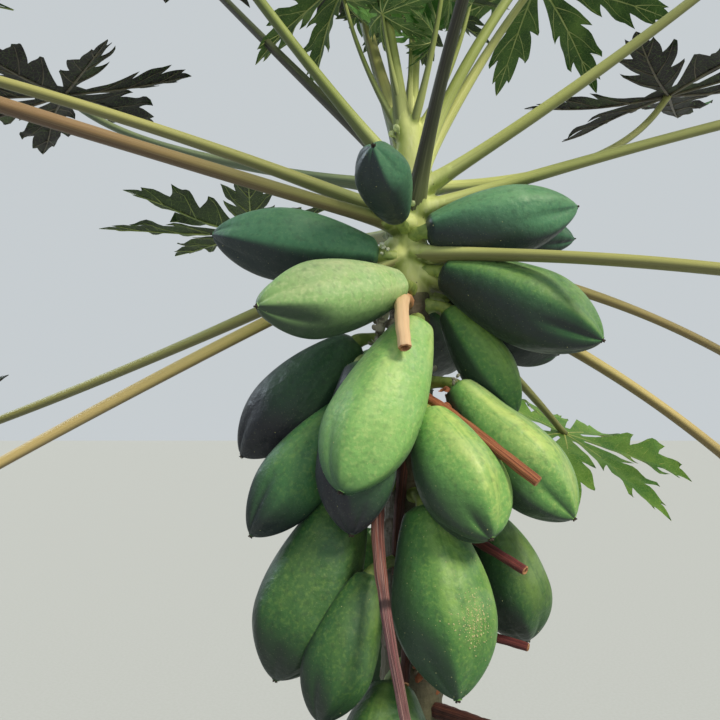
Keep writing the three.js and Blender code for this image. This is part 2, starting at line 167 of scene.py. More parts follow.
# Half the width of the floor
FLOOR = 40

# Where the random draws of each kind of thing start. A fruit's start at its own number
SEEDS = Values(trunk=5, small=9, plan=40, stalk=70, young=200, stem=300, stub=500, specks=1000)

# The share of a fruit's and of a stalk's thickness that a later fruit keeps out of
FRUIT_GIVE, STALK_GIVE = 0.9, 0.85

# A fruit's five sides: how round the edges between them are, in radians, how flat they are and how much
# flatter at the tip; the depth of its creases and their width in radians; its lumps, its bend, the point at
# its tip in metres, and the place and length of the neck of a pear-shaped one
EDGE_ROUND, FLATNESS, TIP_FLATNESS, CREASE, CREASE_WIDTH = 0.10, 0.27, 0.5, 0.15, 0.14
LUMP, BEND, FRUIT_POINT, NECK_PLACE, NECK_LENGTH = 0.011, 0.02, 0.0035, 0.27, 0.16

# The scars of fallen leaves: the height of the first, the step to the next and how far it strays, half
# their width and height, and how far the rim stands out and the scar lies in
SCARS = Values(count=96, first=0.045, step=0.0175, stray=0.004, wide=0.021, tall=0.0125,
               rim=0.0016, sunk=0.0006)
# The step from one low ring of the trunk to the next, and how far they and the trunk's lumps stand out
RING_STEP, RING_RISE, TRUNK_LUMP = 0.0135, 0.00035, 0.006

# A stub's ribs, how far it thins at its joint, and the share of its width that is hollow at the cut, with
# the depth and the lip of the hollow
STUB_RIB, JOINT_WAIST, STUB_MOUTH, STUB_HOLLOW, STUB_LIP = 0.05, 0.16, 0.62, 0.016, 0.0012

# The first leaf with flower buds over its foot, and their turns from it and height above it
BUD_LEAF, BUD_TURNS, BUD_RISE = 9, (-14, 12), 0.018

# Where the stalks and the trunk grow together: its lowest height, how far it runs out along a stalk, and
# the size of the cells that it is made from
FORK_BASE, FORK_REACH, FORK_VOXEL = 1.63, 0.085, 0.0022

# How far a level stalk takes to reach its full thickness, how much further a steep one, and how thick a
# stalk is for its width
FOOT_LENGTH, STEEP_FOOT, STALK_FLAT = 0.012, 0.065, 0.92

# How many of the fruit make up the upper piece
UPPER_FRUIT = 9

# How thick a blade is, and how finely it and each other kind of piece is made
BLADE_THICKNESS, BLADE_GRID = 0.0008, 0.036
FRUIT_RINGS, FRUIT_SIDES = 84, 60
STALK_RINGS, STALK_SIDES = 56, 24
STUB_RINGS, STUB_SIDES = 48, 20
STEM_RINGS, STEM_SIDES = 28, 16
FORK_RINGS, FORK_SIDES, FOOT_RINGS = 60, 40, 24
LINE_POINTS = 80
TRUNK_RINGS, TRUNK_SIDES = 620, 110


def toward(bearing, slope):
    """The unit vector at a bearing and a slope."""
    turn, rise = radians(bearing), radians(slope)
    return np.array([cos(rise) * cos(turn), cos(rise) * sin(turn), sin(rise)])


def unit(vectors):
    return vectors / np.maximum(norm(vectors, axis=-1, keepdims=True), 1e-12)


def smooth(value, low, high):
    """0 below low, 1 above high, and an even slope between them."""
    share = np.clip((value - low) / (high - low), 0, 1)
    return share * share * (3 - 2 * share)


def trunk_radius(height):
    left = np.maximum(0, 1 - height / TRUNK_TOP)
    return TRUNK_TIP + TRUNK_FOOT * left ** TRUNK_TAPER + FLARE * np.exp(-height / FLARE_HEIGHT)


def turns(sides):
    """Even turns round a ring, in radians."""
    return np.linspace(0, 2 * pi, sides, endpoint=False)


def round_from(turn, middle):
    """Turns from a middle one, the shorter way round."""
    return (turn - middle + pi) % (2 * pi) - pi


def ripple(rng, turn, waves):
    """Even waves that start at random."""
    return np.cos(waves * turn + rng.uniform(0, 6))


def bezier(start, knee, end, share=np.linspace(0, 1, LINE_POINTS)):
    share = share[:, None]
    return (1 - share) ** 2 * start + 2 * share * (1 - share) * knee + share ** 2 * end


def lengths(path):
    """How far along the path each of its points is."""
    return np.concatenate([[0], np.cumsum(norm(np.diff(path, axis=0), axis=1))])


def spaced(path, shares):
    """Points at those shares of the path's length."""
    run = lengths(path)
    return np.column_stack([np.interp(np.asarray(shares) * run[-1], run, column) for column in path.T])


def fan(rings, sides):
    """The triangles of rings of points, closed at both ends by the two points that follow them."""
    ring, side = np.meshgrid(np.arange(rings - 1), np.arange(sides), indexing="ij")
    after = (side + 1) % sides
    a, b = ring * sides + side, ring * sides + after
    c, d = b + sides, a + sides
    walls = [np.stack(corners, -1).reshape(-1, 3) for corners in ([a, b, c], [a, c, d])]
    side, after, last = side[0], after[0], (rings - 1) * sides
    low = np.stack([np.full(sides, rings * sides), after, side], -1)
    high = np.stack([np.full(sides, rings * sides + 1), last + side, last + after], -1)
    return np.concatenate([*walls, low, high])


def sweep(path, left, radius, flat=1.0):
    """A closed limb along a path. radius has a row for each ring and a column for each side, and flat
    scales it across left. Its places are the two shares round it and the metres along it."""
    along = unit(np.gradient(path, axis=0))
    left = unit(left - (along * left).sum(1, keepdims=True) * along)
    up = np.cross(along, left) * np.broadcast_to(flat, len(path))[:, None]
    turn = turns(radius.shape[1])
    ring = np.cos(turn)[None, :, None] * left[:, None] + np.sin(turn)[None, :, None] * up[:, None]
    points = path[:, None] + radius[:, :, None] * ring
    run = lengths(path)
    places = np.empty(points.shape)
    places[..., 0], places[..., 1], places[..., 2] = np.cos(turn), np.sin(turn), run[:, None]
    points = np.concatenate([points.reshape(-1, 3), path[:1], path[-1:]])
    places = np.concatenate([places.reshape(-1, 3), [[0, 0, 0]], [[0, 0, run[-1]]]])
    return points, fan(*radius.shape), places


def even(radius, sides):
    """The rings of a round limb, which have one radius on every side."""
    return np.outer(radius, np.ones(sides))


def upright(height):
    """A line up the trunk's middle through those heights, and the level way that its rings start at."""
    return np.column_stack([np.zeros((len(height), 2)), height]), np.array([1.0, 0, 0])


def added(name, data):
    """A new object in the scene."""
    made = bpy.data.objects.new(name, data)
    bpy.context.scene.collection.objects.link(made)
    return made


class Piece:
    """Triangles that are joined into one mesh, each with the number of its material, and each point with
    its place on the thing it belongs to, which the materials read."""

    def __init__(self):
        self.parts, self.count = [], 0

    def add(self, points, faces, places, paint=0):
        self.parts.append((points, faces + self.count, places, np.broadcast_to(paint, len(faces))))
        self.count += len(points)

    def build(self, name, materials, slot, nodes=()):
        points, faces, places, paints = map(np.concatenate, zip(*self.parts))
        mesh = bpy.data.meshes.new(name)
        mesh.vertices.add(self.count)
        mesh.vertices.foreach_set("co", points.ravel())
        mesh.loops.add(faces.size)
        mesh.loops.foreach_set("vertex_index", faces.ravel())
        mesh.polygons.add(len(faces))
        mesh.polygons.foreach_set("loop_start", np.arange(0, faces.size, 3))
        mesh.polygons.foreach_set("material_index", paints)
        mesh.update(calc_edges=True)
        mesh.shade_smooth()
        mesh.attributes.new("place", "FLOAT_VECTOR", "POINT").data.foreach_set("vector", places.ravel())
        add_facing(mesh)
        for material in materials:
            mesh.materials.append(material)
        made = added(name, mesh)
        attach(made, "root")
        if nodes:
            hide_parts(*nodes)
        return made


def add_facing(mesh):
    """Keeps for each point how far it turns to the sun and to the far side: 0 away, 1 straight at it. The
    materials paint light and shade by these.
    """
    normals = np.empty(3 * len(mesh.vertices))
    mesh.vertex_normals.foreach_get("vector", normals)
    for name, way in (("facing", SUNS[0][1]), ("behind", FAR_SIDE)):
        turned = 0.5 + 0.5 * normals.reshape(-1, 3) @ unit(np.array(way))
        mesh.attributes.new(name, "FLOAT", "POINT").data.foreach_set("value", turned.astype(np.float32))


def numbered(kind, count, first=1):
    return [f"{kind}_{i:02d}" for i in range(first, first + count)]


def rgb(text):
    """A colour written as on screen, in Blender's linear values."""
    values = [int(text[i:i + 2], 16) / 255 for i in (0, 2, 4)]
    return [v / 12.92 if v <= 0.04045 else ((v + 0.055) / 1.055) ** 2.4 for v in values] + [1]


# No stretch any way
EVEN = (1, 1, 1)


class Paint:
    """A material that is painted in layers, each laid over the last where its pattern is strong."""

    def __init__(self, name, base, roughness, **values):
        self.material = bpy.data.materials.new(name)
        self.material.use_nodes = True
        self.tree = self.material.node_tree
        self.shader = self.tree.nodes["Principled BSDF"]
        self.colour, self.heights = rgb(base), None
        for socket, value in {"Base Color": self.colour, "Roughness": roughness, **values}.items():
            self.feed(self.shader, socket, value)

    def feed(self, node, socket, value):
        """Gives a socket a value or the output of another node."""
        socket = node.inputs[socket.replace("_", " ") if isinstance(socket, str) else socket]
        if isinstance(value, bpy.types.NodeSocket):
            self.tree.links.new(value, socket)
        else:
            socket.default_value = value

    def node(self, kind, **values):
        """A new node. Names in small letters are its settings, and the others its sockets."""
        made = self.tree.nodes.new("ShaderNode" + kind)
        for name, value in values.items():
            if name.islower():
                setattr(made, name, value)
            else:
                self.feed(made, name, value)
        return made

    def where(self, stretch, place):
        """The point's place on its own thing, or in the whole tree, stretched."""
        vector = (self.node("Attribute", attribute_name="place").outputs["Vector"] if place
                  else self.node("TexCoord").outputs["Object"])
        return self.node("Mapping", Vector=vector, Scale=stretch).outputs["Vector"]

    def ramp(self, value, low, high):
        """From 0 at low to 1 at high, softly."""
        return self.node("MapRange", interpolation_type="SMOOTHSTEP", Value=value, From_Min=low,
                         From_Max=high).outputs["Result"]

    def noise(self, scale, detail, low=0.4, high=0.6, stretch=EVEN, place=True):
        """Clouds between 0 and 1, sharper the nearer low and high are."""
        made = self.node("TexNoise", Vector=self.where(stretch, place), Scale=scale, Detail=detail)
        return self.ramp(made.outputs["Fac"], low, high)

    def grain(self, scale, detail, low=0.4, high=0.6, stretch=EVEN):
        """The same clouds, by the place in the whole tree."""
        return self.noise(scale, detail, low, high, stretch, False)

    def cells(self, scale, low, high, stretch=EVEN, place=False, feature="F1"):
        made = self.node("TexVoronoi", feature=feature, Vector=self.where(stretch, place), Scale=scale)
        return self.ramp(made.outputs["Distance"], low, high)

    def facing(self, low, high, which="facing"):
        """How far the surface turns to the sun or to the far side."""
        return self.ramp(self.node("Attribute", attribute_name=which).outputs["Fac"], low, high)

    def axis(self, which, low, high, place=True):
        split = self.node("SeparateXYZ", Vector=self.where(EVEN, place))
        return self.ramp(split.outputs[which], low, high)

    def height(self, low, high):
        """From 0 at one height above the ground to 1 at another."""
        return self.axis("Z", low, high, False)

    def times(self, value, amount):
        made = self.node("Math", operation="MULTIPLY")
        self.feed(made, 0, value)
        self.feed(made, 1, amount)
        return made.outputs[0]

    def lay(self, colour, pattern, amount):
        """Lays a colour over the last one, as far as the pattern and the amount say."""
        mix = self.node("Mix", data_type="RGBA", Factor=self.times(pattern, amount))
        self.feed(mix, 6, self.colour)
        self.feed(mix, 7, rgb(colour))
        self.colour = mix.outputs[2]
        self.feed(self.shader, "Base Color", self.colour)

    def emboss(self, pattern, depth, strength):
        """Raises the surface by a depth in metres where the pattern is strong."""
        bump = self.node("Bump", Height=pattern, Distance=depth, Strength=strength)
        if self.heights:
            self.feed(bump, "Normal", self.heights)
        self.heights = bump.outputs["Normal"]
        self.feed(self.shader, "Normal", self.heights)

    def gloss(self, pattern, low, high):
        """Roughness between two values, as the pattern says."""
        made = self.node("MapRange", Value=pattern, To_Min=low, To_Max=high)
        self.feed(self.shader, "Roughness", made.outputs["Result"])


def fruit_paint(name, base, deep, painted_sunlight, dusk):
    """Waxy green skin with painted light and shade: painted sunlight in yellow-green on the side towards the
    sun and a faint bluish painted sheen there, painted shade on the side away from it, weaker on the tree's
    far side, with fine mottling, faint streaks and tiny pale pores. dusk is where the painted shade begins."""
    skin = Paint(name, base, 0.46, Sheen_Weight=0.08, Sheen_Roughness=0.35, Sheen_Tint=rgb("bcdcd8"),
                 Specular_IOR_Level=0.32)
    # Painted shade: the dark colour where the skin turns away from the sun
    skin.lay(deep, skin.facing(dusk, dusk - 0.33), 0.94)
    # The skin colour laid back over the painted shade on the tree's far side
    skin.lay(base, skin.facing(0.62, 0.82, "behind"), 0.68)
    clouds = skin.noise(1.2, 4, 0.30, 0.72, (0.8, 0.8, 4))
    # Painted sunlight: yellow-green in clouds where the skin turns to the sun
    skin.lay(painted_sunlight, skin.times(skin.facing(0.60, 0.98), clouds), 0.95)
    # Mottling in the skin colour and the painted sunlit colour, only on the side towards the sun
    lit = skin.facing(dusk - 0.20, dusk)
    skin.lay(base, skin.times(lit, skin.noise(1.5, 4, 0.45, 0.75, (4, 4, 7))), 0.6)
    skin.lay(base, skin.times(lit, skin.grain(28, 5, 0.45, 0.70)), 0.5)
    skin.lay(painted_sunlight, skin.times(lit, skin.grain(210, 4, 0.45, 0.72)), 0.34)
    skin.lay(deep, skin.grain(130, 5, 0.48, 0.74), 0.26)
    # Painted sheen: a faint bluish bloom only where the skin faces the sun
    skin.lay("a9c3ae", skin.times(skin.facing(0.72, 1.0), skin.grain(25, 3)), 0.14)
    skin.lay("cdd4a2", skin.cells(330, 0.15, 0.04), 0.28)
    skin.gloss(skin.grain(60, 4, 0.3, 0.7), 0.40, 0.56)
    skin.emboss(skin.grain(75, 5, 0.2, 0.8), 0.0020, 0.5)
    skin.emboss(skin.grain(420, 2, 0.2, 0.8), 0.0002, 0.5)
    return skin.material


def stalk_paint(name, far, under, near, foot):
    """Smooth waxy stalk, pale by the trunk, with painted shade underneath where it turns away from the sun
    and the same dark colour in faint clouds, fine streaks and dark flecks.
    """
    skin = Paint(name, far, 0.45, Sheen_Weight=0.06, Specular_IOR_Level=0.35)
    skin.lay(near, skin.axis("Z", 0.50, 0.15), 0.9)
    skin.lay(STALK_FOOT, skin.axis("Z", 0.15, 0.03), foot)
    # Painted shade: the under colour where the stalk turns away from the sun
    skin.lay(under, skin.facing(0.76, 0.40), 0.85)
    skin.lay(under, skin.noise(1.2, 5, 0.45, 0.75, (2.4, 2.4, 5)), 0.25)
    skin.lay("dcdcac", skin.noise(1, 4, 0.5, 0.8, (9, 9, 14)), 0.14)
    skin.lay("4d4a2c", skin.cells(1, 0.09, 0.03, (7, 7, 30), True), 0.6)
    skin.gloss(skin.noise(1, 3, 0.3, 0.7, (6, 6, 20)), 0.4, 0.55)
    skin.emboss(skin.noise(1, 4, 0.25, 0.75, (16, 16, 5)), 0.0004, 0.4)
    return skin.material


def fork_paint():
    """The pale yellow-green skin where the stalks grow out of the trunk, with painted shade where it turns
    away from the sun and low down under the stalks' feet, and small dark scars.
    """
    skin = Paint("fork", STALK_FOOT, 0.5, Specular_IOR_Level=0.35)
    # Painted shade in two steps, darker the further the skin turns from the sun
    skin.lay("8fa048", skin.facing(0.78, 0.48), 0.85)
    skin.lay("46562c", skin.facing(0.54, 0.22), 0.85)
    skin.lay("b0ba70", skin.grain(60, 5, 0.45, 0.65, (1, 1, 0.3)), 0.4)
    skin.lay("dde0b4", skin.grain(90, 4, 0.5, 0.75, (1, 1, 0.4)), 0.4)
    skin.lay("3f4426", skin.cells(75, 0.10, 0.04), 0.75)
    # Painted shade low down under the stalks' feet
    skin.lay("4a4434", skin.height(1.685, 1.645), 0.8)
    skin.emboss(skin.grain(160, 4, 0.3, 0.7, (1, 1, 0.5)), 0.0006, 0.5)
    return skin.material


def blade_paint(name, base, deep, line, roughness):
    """Soft leaf skin in clouds of two greens, with the net of the finest veins."""
    skin = Paint(name, base, roughness, Specular_IOR_Level=0.25)
    skin.lay(deep, skin.noise(5, 4, 0.4, 0.65), 0.8)
    skin.lay(line, skin.noise(3, 2, 0.55, 0.75), 0.25)
    net = skin.cells(42, 0.05, 0.0, EVEN, True, "DISTANCE_TO_EDGE")
    skin.lay(line, net, 0.4)
    skin.emboss(net, 0.0004, 0.6)
    skin.emboss(skin.noise(60, 3, 0.3, 0.7), 0.0005, 0.4)
    return skin.material


def bark_paint():
    """Grey-brown bark at the foot, dark brown behind the fruit, partly its own colour and partly painted
    shade of the fruit round it, and pale green at the tip. Its places are the marks of leaf scars, of their
    rims, and the height."""
    bark = Paint("bark", "8c8468", 0.75)
    bark.lay("5f5a46", bark.grain(38, 5, 0.42, 0.62, (1, 1, 0.4)), 0.8)
    bark.lay("b0a98c", bark.grain(30, 5, 0.52, 0.72, (1, 1, 2.5)), 0.6)
    bark.lay("6f7850", bark.height(0.65, 1.15), 0.75)
    bark.lay("59663c", bark.grain(55, 4, 0.5, 0.68, (1, 1, 0.5)), 0.5)
    # Dark brown among the fruit: partly the bark's own colour, partly painted shade of the fruit round it
    bark.lay("41382f", bark.height(0.98, 1.20), 0.86)
    bark.lay("5c5a42", bark.grain(45, 5, 0.48, 0.68, (1, 1, 0.6)), 0.35)
    bark.lay("7a6a55", bark.axis("X", 0.1, 0.9), 0.35)
    bark.lay(STALK_FOOT, bark.height(1.64, 1.74), 0.9)
    bark.lay("a58f6c", bark.times(bark.axis("X", 0.1, 0.9), bark.height(1.20, 0.95)), 0.6)
    bark.lay("5b4632", bark.axis("Y", 0.2, 1.0), 0.45)
    bark.lay("3d3a26", bark.cells(90, 0.14, 0.05), 0.6)
    bark.emboss(bark.grain(150, 5, 0.3, 0.7, (1, 1, 0.35)), 0.0015, 0.6)
    bark.emboss(bark.grain(60, 3, 0.4, 0.7, (1, 1, 6)), 0.0008, 0.4)
    return bark.material


def stub_paint(name, base, deep, pale, foot, foot_end, worn, joint=0):
    """Dried stalk, streaked along its length, with pale worn fibres and, on one, a dark band at its joint. A
    fresh one is less worn."""
    skin = Paint(name, base, 0.7)
    skin.lay(foot, skin.axis("Z", foot_end, foot_end - 0.03), 0.85)
    skin.lay(deep, skin.noise(1.2, 5, 0.42, 0.62, (4, 4, 12)), 0.8 * worn)
    skin.lay(pale, skin.noise(1.3, 5, 0.52, 0.66, (7, 7, 9)), 0.7 * worn)
    skin.lay(pale, skin.noise(1.2, 4, 0.54, 0.66, (18, 18, 14)), 0.5 * worn)
    if joint:
        above, below = skin.axis("Z", joint - 0.006, joint), skin.axis("Z", joint + 0.012, joint + 0.004)
        skin.lay("2a1418", skin.times(above, below), 0.9)
    skin.emboss(skin.noise(1.5, 4, 0.3, 0.7, (12, 12, 6)), 0.0009 * worn, 0.8)
    return skin.material


def plain_paint(name, base, other, scale, roughness):
    """Two near colours in clouds, for the small things."""
    skin = Paint(name, base, roughness)
    skin.lay(other, skin.grain(scale, 3), 0.8)
    skin.emboss(skin.grain(2 * scale, 3, 0.3, 0.7), 0.0005, 0.6)
    return skin.material


# A fruit's skin, its painted shade on the side away from the sun and its painted sunlight on the side
# towards it, and where the painted shade begins. The shade tone is darker all over as painted shade, for
# fruit in the shadow of others, and the dull_shaded tone partly so, for the low fruit
FRUIT_TONES = {
    "young": ("548a66", "282b35", "78a878", 0.78),
    "deep": ("447648", "272b31", "82a65a", 0.78),
    "mid": ("4a7c40", "32423a", "94b85c", 0.70),
    "fresh": ("68a254", "2c3632", "c8da80", 0.76),
    "light": ("84b868", "3a5a42", "c8dc8c", 0.60),
    "pale": ("9cc67c", "2b3833", "ecf0b8", 0.74),
    "dull_shaded": ("345e32", "29312e", "76944a", 0.72),
    "shade": ("30503a", "2a2932", "527a4c", 0.86),
}
# A stalk far out, its painted shade underneath and its colour near the trunk, and how pale its foot is. The
# dusky stalks are darker all over as painted shade
STALK_TONES = {
    "lime": ("b8ba72", "6c6e42", "bac270", 0.8),
    "olive": ("aaa864", "605e3e", "aeb068", 0.8),
    "ochre": ("c8b276", "705e3c", "c0b46e", 0.8),
    "rust": ("907450", "564238", "96985a", 0.8),
    "grey": ("8f9f74", "4a5946", "8f9f74", 0.6),
    "dusky": ("4b5432", "2b2627", "46502e", 0.2),
    "green": ("8d9c50", "3e4a2c", "98a656", 0.8),
}
# A blade's upper skin, its darker clouds and its net of veins, and its underside and the clouds there. The
# tones are lit and shaded copies of one leaf, painted light and shade: deep for blades in shade, lit and
# bright for sunlit and backlit ones
BLADE_TONES = {
    "deep": ("2f5a2a", "1f4420", "6d8a4a", "2a272a", "1f1a20"),
    "mid": ("3f7430", "2a5626", "7f9c52", "3c4c30", "2a3228"),
    "lit": ("4c8034", "346528", "90ac5a", "52703a", "3a5430"),
    "bright": ("74a040", "4c8434", "bccf68", "789a54", "5a8246"),
}
# The veins of each blade, in two near colours, lighter or darker with the blade's painted light and shade
VEIN_TONES = {"deep": ("605a46", "403833"), "mid": ("94a35a", "6c8046"), "lit": ("b4bd78", "8ea058"),
              "bright": ("c6cf6c", "9db254")}
# A stub's skin, its dark and pale streaks, its foot and the length of that, how worn it is, and its joint
STUB_TONES = {
    "peach": ("e2c098", "c08a5c", "f0dfbe", "b87c50", 0.085, 0.18),
    "russet": ("a9603f", "6e3022", "d89a68", "a9603f", 0.06, 1),
    "maroon": ("7c383a", "451d26", "ac5c4e", "7c383a", 0.06, 1),
    "rose": ("7e484c", "42202a", "d8b4aa", "8c4c3c", 0.240, 1, 0.235),
    "umber": ("54302a", "30191c", "8a5240", "54302a", 0.06, 1),
}
# The dry bits: the name of their material, two near colours, how fine its clouds are, and its roughness
SCRAP_TONES = {
    "ash": ("dry_petal", "b9b3a4", "6a6258", 120, 0.85),
    "bract": ("dry_bract", "a0603c", "6e3c28", 90, 0.75),
    "latex": ("latex", "dfe3cc", "b9c4a8", 200, 0.35),
}


def stalk_path(row):
    """The centre line of a leaf's stalk or stub, and the level direction across it."""
    start = toward(row.bearing, 0) * STALK_ROOT * trunk_radius(row.height) + [0, 0, row.height]
    knee = start + toward(row.bearing, row.rise) * row.length * row.knee
    end = knee + toward(row.bearing + row.turn, row.end) * row.length * (1 - row.knee)
    return bezier(start, knee, end), toward(row.bearing + row.turn / 2 + 90, 0)


def stalk_radius(share, length):
    return STALK_END + STALK_SWELL * (1 - share) + STALK_FLARE * np.exp(-share * length / STALK_FLARE_LENGTH)


def foot_shape(run, rise):
    """How full a stalk is at a run from its foot in metres, how wide, and how thick for its width. A steep
    stalk swells out of the trunk more slowly than a level one."""
    steep = sin(radians(rise)) ** 4
    full = np.sqrt(1 - (1 - np.clip(run / (FOOT_LENGTH + STEEP_FOOT * steep), 0.05, 1)) ** 2)
    wide = 1 + 0.35 * (1 - steep) * np.exp(-run / 0.05)
    return full, wide, STALK_FLAT / wide ** 1.6


def make_stalk(piece, row, thickness, seed):
    """A leaf stalk with low ribs, broad and clasping at its foot and swollen where the blade joins it."""
    rng = np.random.default_rng(seed)
    path, left = stalk_path(row)
    share = np.linspace(0, 1, STALK_RINGS) ** 1.3
    path = spaced(path, share)
    radius = stalk_radius(share, row.length) * thickness * (1 + 0.22 * smooth(share, 0.965, 1.0))
    turn = turns(STALK_SIDES)
    ribs = 0.006 * ripple(rng, turn, 8) + 0.02 * ripple(rng, turn, 3)
    wander = 0.03 * np.sin(share * row.length * 18 + rng.uniform(0, 6))
    full, wide, flat = foot_shape(share * row.length, row.rise)
    radius = radius[:, None] * (1 + ribs[None, :] + wander[:, None]) * (full * wide)[:, None]
    piece.add(*sweep(path, left, radius, flat), list(STALK_TONES).index(row.stalk))


def fruit_profile(share, belly, fall=FRUIT_FALL):
    """The share of a fruit's width at a share of its length: a neck, a belly and a blunt point."""
    rise = FRUIT_NECK + (1 - FRUIT_NECK) * np.sin(pi / 2 * np.minimum(share / belly, 1)) ** FRUIT_RISE
    past = np.clip((share - belly) / (1 - belly), 0, 1)
    return np.where(share < belly, rise, np.maximum(FRUIT_TIP, np.cos(pi / 2 * past) ** fall))


def fruit_line(row):
    """Where a fruit begins, and the way that it hangs."""
    base = toward(row.bearing, 0) * (trunk_radius(row.height) + row.stem) + [0, 0, row.height]
    return base, toward(row.heading, row.slope)


def all_fruit():
    """The fruit of the table, those behind the trunk and those in the lowest ring."""
    back, low, plain = BACK_FRUIT, LOW_FRUIT, PLAIN_FRUIT
    spots = [(back.top + back.step * i, back.start + (back.bearing - back.start + back.turn * i) % back.span)
             for i in range(back.count)]
    spots += [(low.height + low.step * i, low.bearing + low.turn * i) for i in range(low.count)]
    rows = list(FRUITS)
    for i, (height, bearing) in enumerate(spots):
        drop = min(1, (back.top - height) / (back.top - plain.low_height))
        slope = plain.top_slope + (plain.low_slope - plain.top_slope) * drop
        tone = ("deep", "mid", "dull_shaded")[i % 3]
        rows.append(Fruit(height, bearing, plain.stem, bearing, slope, plain.length, plain.width, tone))
    return rows


def inside_fruit(points, row):
    base, axis = fruit_line(row)
    offset = points - base
    run = offset @ axis
    share = run / row.length
    radius = row.width / 2 * fruit_profile(np.clip(share, 0, 1), row.belly)
    across = norm(offset - run[:, None] * axis, axis=1)
    return (share > 0) & (share < 1) & (across < FRUIT_GIVE * radius)


def inside_stalk(points, path, radius):
    gap = norm(points[:, None] - path[None], axis=2)
    near = gap.argmin(1)
    return gap[np.arange(len(points)), near] < STALK_GIVE * radius[near]


def draw_in(points, centres, held_by):
    """Moves each point that another piece holds in towards its centre, until it is free."""
    held = held_by(points)
    near, far = np.zeros(held.sum()), np.ones(held.sum())
    start, reach = centres[held], points[held] - centres[held]
    for _ in range(10):
        middle = (near + far) / 2
        still = held_by(start + reach * middle[:, None])
        far, near = np.where(still, middle, far), np.where(still, near, middle)
    points[held] = start + reach * near[:, None]
    return points


def make_fruit(piece, number, row, earlier, stalks):
    """A ridged fruit, creased towards its tip, that gives way to the stalks and the fruit before it."""
    rng = np.random.default_rng(number)
    share = 0.5 - 0.5 * np.cos(pi * np.linspace(0, 1, FRUIT_RINGS))
    turn = turns(FRUIT_SIDES)
    phase = rng.uniform(0, 2 * pi)
    base, axis = fruit_line(row)
    left = unit(np.cross(axis, [0, 0, 1.0]))
    bow = left * rng.uniform(-BEND, BEND) + np.cross(axis, left) * rng.uniform(-BEND, BEND)
    path = base + np.outer(share, axis) * row.length + np.outer(np.sin(pi * share), bow) * row.length
    shoulder = np.sqrt(1 - (1 - np.clip(share / 0.05, 0, 1)) ** 2)
    drawn = 1 - row.pear * np.exp(-((share - NECK_PLACE) / NECK_LENGTH) ** 2)
    radius = row.width / 2 * fruit_profile(share, row.belly, row.fall)
    radius *= np.maximum(shoulder, 0.3) * drawn
    half = pi / FRUIT_RIDGES
    away = np.abs((turn - phase) % (2 * half) - half)
    away = np.sqrt((half - away) ** 2 + EDGE_ROUND ** 2) - EDGE_ROUND
    facets = 1.07 * cos(half) / np.cos(half - away) - 1
    ridge = (FLATNESS + TIP_FLATNESS * smooth(share, 0.55, 0.98))[:, None] * facets
    crease = np.zeros((len(share), len(turn)))
    for i in range(FRUIT_RIDGES):
        away = round_from(turn, phase + (i + 0.5) * 2 * pi / FRUIT_RIDGES)
        along = smooth(share, rng.uniform(0.45, 0.85), 1.0) * rng.uniform(0.3, 1)
        crease += np.outer(along, np.exp(-(away / CREASE_WIDTH) ** 2))
    lumps = sum(rng.uniform(-LUMP, LUMP) * np.outer(ripple(rng, share, pi * n), ripple(rng, turn, m))
                for m in (1, 2, 3) for n in (1, 2, 3))
    radius = radius[:, None] * (1 + ridge - CREASE * crease + lumps)
    points, faces, places = sweep(path, left, radius)
    centres = np.concatenate([np.repeat(path, FRUIT_SIDES, axis=0), path[:1], path[-1:]])
    middle, span = path.mean(0), row.length
    near = [other for other in earlier if norm(fruit_line(other)[0] - middle) < span + other.length]
    tubes = []
    for line, width in stalks:
        close = norm(line - middle, axis=1) < 0.6 * span
        if close.any():
            tubes.append((line[close], width[close]))

    def held_by(spots):
        held = np.zeros(len(spots), bool)
        for other in near:
            held |= inside_fruit(spots, other)
        for line, width in tubes:
            held |= inside_stalk(spots, line, width)
        return held

    points = draw_in(points, centres, held_by)
    points[-1] -= axis * FRUIT_POINT
    tones = np.full(len(faces), list(FRUIT_TONES).index(row.tone))
    tones[-FRUIT_SIDES:] = len(FRUIT_TONES)
    piece.add(points, faces, places, tones)
    return points[:-2].reshape(FRUIT_RINGS, FRUIT_SIDES, 3), path


def make_stem(piece, row, seed):
    """A fruit's stem: swollen where it leaves the trunk and where the fruit begins."""
    rng = np.random.default_rng(seed)
    base, axis = fruit_line(row)
    foot, share = np.array([0, 0, row.height]), np.linspace(0, 1, STEM_RINGS)
    path = spaced(bezier(foot, base - axis * FRUIT_SHOULDER, base + axis * 0.006), share)
    reach = norm(path[:, :2], axis=1) - trunk_radius(row.height)
    radius = FRUIT_STEM * (1 + 0.5 * np.exp(-np.maximum(reach, 0) / 0.008) + 0.45 * smooth(share, 0.7, 1))
    turn = turns(STEM_SIDES)
    ribs = 1 + 0.05 * ripple(rng, turn, 5) + 0.03 * ripple(rng, turn, 2)
    piece.add(*sweep(path, toward(row.bearing + 90, 0), radius[:, None] * ribs))


def make_dome(piece, spot, out, radius, height, paint=0, sides=6):
    """A low round grain that stands out of a surface."""
    left = unit(np.cross(out, [0.3, 0.2, 1.0]))
    path = spot + np.outer([-0.5 * height, 0.3 * height, height], out)
    piece.add(*sweep(path, left, even([radius, radius * 0.85, radius * 0.3], sides)), paint)


